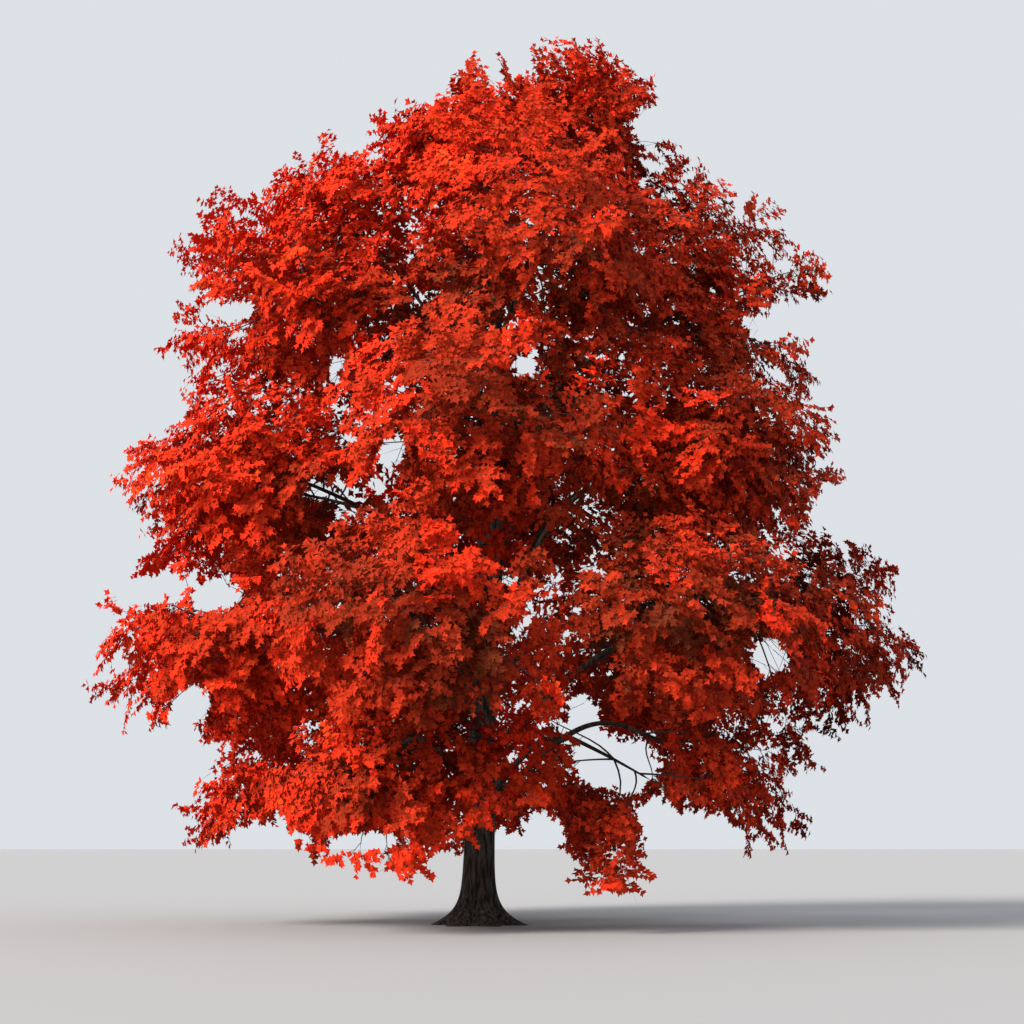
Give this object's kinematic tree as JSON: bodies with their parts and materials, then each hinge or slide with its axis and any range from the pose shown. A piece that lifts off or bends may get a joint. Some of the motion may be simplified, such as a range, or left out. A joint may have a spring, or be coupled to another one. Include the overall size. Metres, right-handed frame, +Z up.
{
  "type": "red maple tree",
  "caption": "Broad deciduous tree in red autumn leaf: a buttressed trunk, spreading boughs and layered masses of foliage that hang to near the ground.",
  "frame": {"origin": "middle of the flat cut at ground level, under the trunk", "axes": "+Z up, +X towards the side where the crown is widest, -Y towards the front"},
  "size_m": [15.6448, 15.6484, 17.9499],
  "materials": {
    "bark": "ridged grey-brown bark",
    "scarlet_leaves": "matt leaves, bright scarlet",
    "red_leaves": "matt leaves, red",
    "crimson_leaves": "matt leaves, dark crimson"
  },
  "bodies": {
    "root": {"trunk": "bark", "bough_skirt_right": "bark", "bough_skirt_back": "bark", "bough_skirt_back_left": "bark", "bough_skirt_left": "bark", "bough_skirt_front": "bark", "bough_skirt_front_right": "bark", "bough_broad_right": "bark", "bough_broad_back_right": "bark", "bough_broad_back": "bark", "bough_broad_back_left": "bark", "bough_broad_front_left": "bark", "bough_broad_front": "bark", "bough_broad_front_right": "bark", "bough_middle_back_right": "bark", "bough_middle_back": "bark", "bough_middle_back_left": "bark", "bough_middle_front_left": "bark", "bough_middle_front": "bark", "bough_middle_front_right": "bark", "bough_upper_right": "bark", "bough_upper_back": "bark", "bough_upper_back_left": "bark", "bough_upper_front_left": "bark", "bough_upper_front": "bark", "bough_shoulder_right": "bark", "bough_shoulder_back": "bark", "bough_shoulder_left": "bark", "bough_shoulder_front": "bark", "bough_crest_right": "bark", "leaves_skirt_right": "crimson_leaves", "leaves_skirt_back": "red_leaves", "leaves_skirt_back_left": "scarlet_leaves", "leaves_skirt_left": "scarlet_leaves", "leaves_skirt_front": "scarlet_leaves", "leaves_skirt_front_right": "crimson_leaves", "leaves_broad_right": "crimson_leaves", "leaves_broad_back_right": "crimson_leaves", "leaves_broad_back": "red_leaves", "leaves_broad_back_left": "scarlet_leaves", "leaves_broad_front_left": "scarlet_leaves", "leaves_broad_front": "red_leaves", "leaves_broad_front_right": "crimson_leaves", "leaves_middle_back_right": "crimson_leaves", "leaves_middle_back": "red_leaves", "leaves_middle_back_left": "scarlet_leaves", "leaves_middle_front_left": "scarlet_leaves", "leaves_middle_front": "red_leaves", "leaves_middle_front_right": "crimson_leaves", "leaves_upper_right": "crimson_leaves", "leaves_upper_back": "red_leaves", "leaves_upper_back_left": "scarlet_leaves", "leaves_upper_front_left": "scarlet_leaves", "leaves_upper_front": "red_leaves", "leaves_shoulder_right": "crimson_leaves", "leaves_shoulder_back": "red_leaves", "leaves_shoulder_left": "scarlet_leaves", "leaves_shoulder_front": "red_leaves", "leaves_crest_right": "red_leaves", "leaves_crest_left": "red_leaves"}
  },
  "joints": []
}
